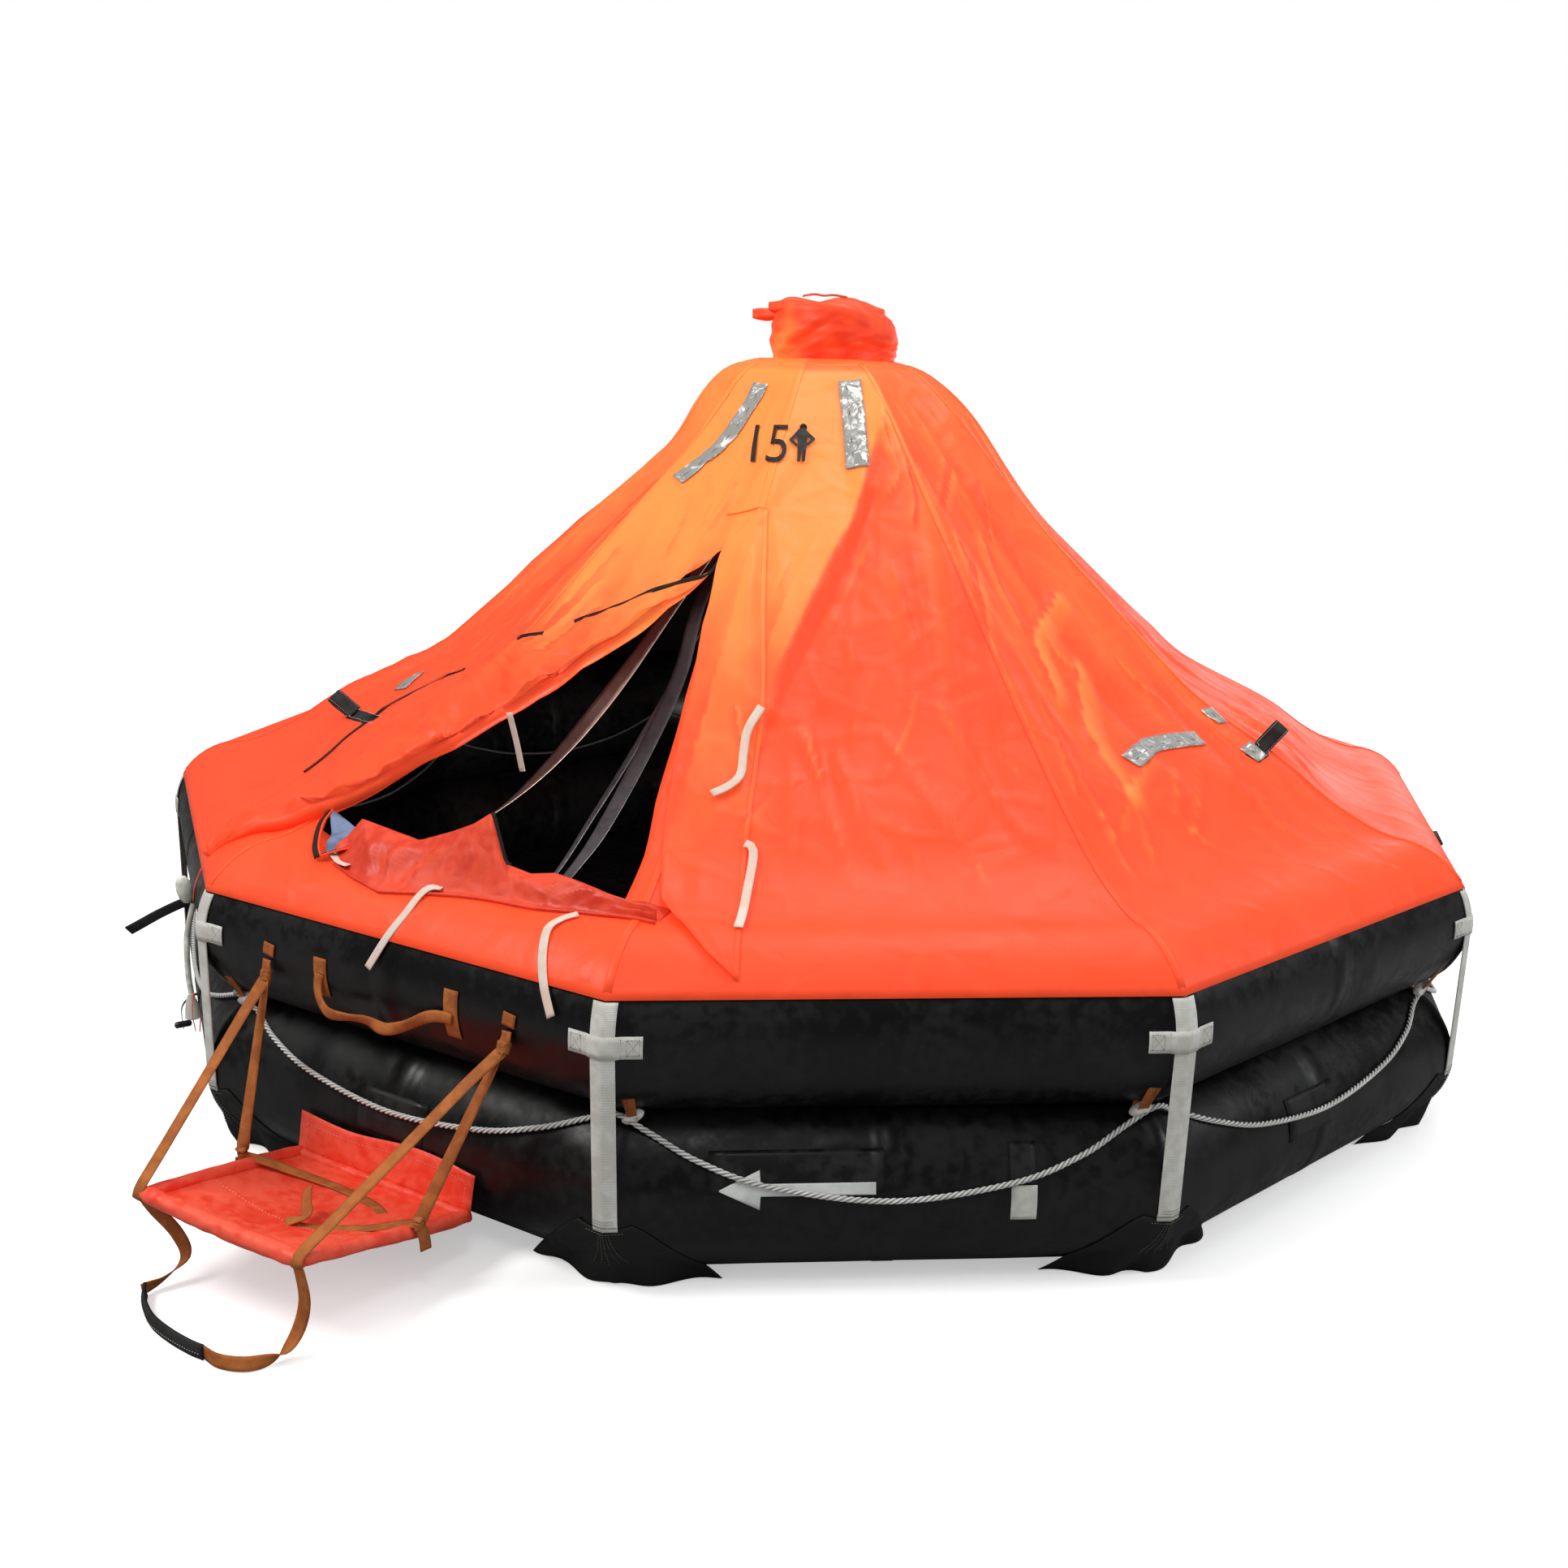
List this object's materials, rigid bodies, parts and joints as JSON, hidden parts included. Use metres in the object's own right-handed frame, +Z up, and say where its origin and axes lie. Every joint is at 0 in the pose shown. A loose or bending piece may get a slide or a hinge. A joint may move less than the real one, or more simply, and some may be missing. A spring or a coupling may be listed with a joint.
{
  "type": "inflatable life raft",
  "caption": "Ten-sided inflatable life raft with two stacked tubes, peaked canopy with open doorways, lifelines, ballast pockets and a hanging boarding ramp.",
  "frame": {"origin": "centre of the raft's underside, on the surface that it stands on", "axes": "+Z up; -Y out through the doorway with the boarding ramp; +X to the right of someone facing that doorway's inside from the ramp"},
  "size_m": [3.5266, 4.3169, 1.8964],
  "materials": {
    "tube_fabric": "black rubber-coated fabric, satin, slightly wrinkled at the seams",
    "floor_fabric": "black rubber-coated fabric, matt",
    "pocket_fabric": "black coated cloth, slack",
    "canopy_fabric": "orange coated cloth, creased, glowing where light comes through",
    "white_webbing": "white woven webbing",
    "bridle_webbing": "grey and black woven webbing",
    "tan_webbing": "orange-brown woven webbing",
    "white_rope": "three-strand white rope",
    "grey_rope": "grey braided line",
    "ramp_fabric": "red-orange coated cloth with hemmed edges",
    "cylinder_paint": "grey painted steel bottle in a black sleeve"
  },
  "bodies": {
    "raft": {"canopy_panel_0": "canopy_fabric", "corner_strap_0": "white_webbing", "ballast_pocket_0": "pocket_fabric", "canopy_panel_1": "canopy_fabric", "corner_strap_1": "white_webbing", "ballast_pocket_1": "pocket_fabric", "canopy_panel_2": "canopy_fabric", "corner_strap_2": "white_webbing", "ballast_pocket_2": "pocket_fabric", "canopy_panel_3": "canopy_fabric", "corner_strap_3": "white_webbing", "ballast_pocket_3": "pocket_fabric", "canopy_panel_4": "canopy_fabric", "corner_strap_4": "white_webbing", "ballast_pocket_4": "pocket_fabric", "canopy_panel_5": "canopy_fabric", "corner_strap_5": "white_webbing", "ballast_pocket_5": "pocket_fabric", "canopy_panel_6": "canopy_fabric", "corner_strap_6": "white_webbing", "ballast_pocket_6": "pocket_fabric", "canopy_panel_7": "canopy_fabric", "corner_strap_7": "white_webbing", "ballast_pocket_7": "pocket_fabric", "canopy_panel_8": "canopy_fabric", "corner_strap_8": "white_webbing", "ballast_pocket_8": "pocket_fabric", "canopy_panel_9": "canopy_fabric", "corner_strap_9": "white_webbing", "ballast_pocket_9": "pocket_fabric", "lower_tube": "tube_fabric", "upper_tube": "tube_fabric", "floor": "floor_fabric", "chimney": "canopy_fabric", "lifting_bridle": "bridle_webbing", "lifeline": "white_rope", "inner_lifeline": "grey_rope", "grab_handle_0": "tan_webbing", "grab_handle_5": "tan_webbing", "boarding_ladder": "tan_webbing", "gas_cylinder": "cylinder_paint", "door_0_folded_flap": "canopy_fabric", "door_0_hanging_flap": "canopy_fabric", "door_0_sill_flap": "canopy_fabric", "door_5_folded_flap": "canopy_fabric", "door_5_hanging_flap": "canopy_fabric", "door_5_sill_flap": "canopy_fabric"},
    "boarding_ramp": {"boarding_ramp_tray": "ramp_fabric", "boarding_ramp_webbing_left": "tan_webbing", "boarding_ramp_webbing_right": "tan_webbing", "boarding_ramp_foot_loop": "tan_webbing"}
  },
  "joints": [
    {"name": "ramp_swing", "type": "hinge", "parent": "raft", "child": "boarding_ramp", "pos_m": [0, -1.6691, 0.505], "axis": [-1, 0, 0], "range_deg": [0, 60]}
  ]
}
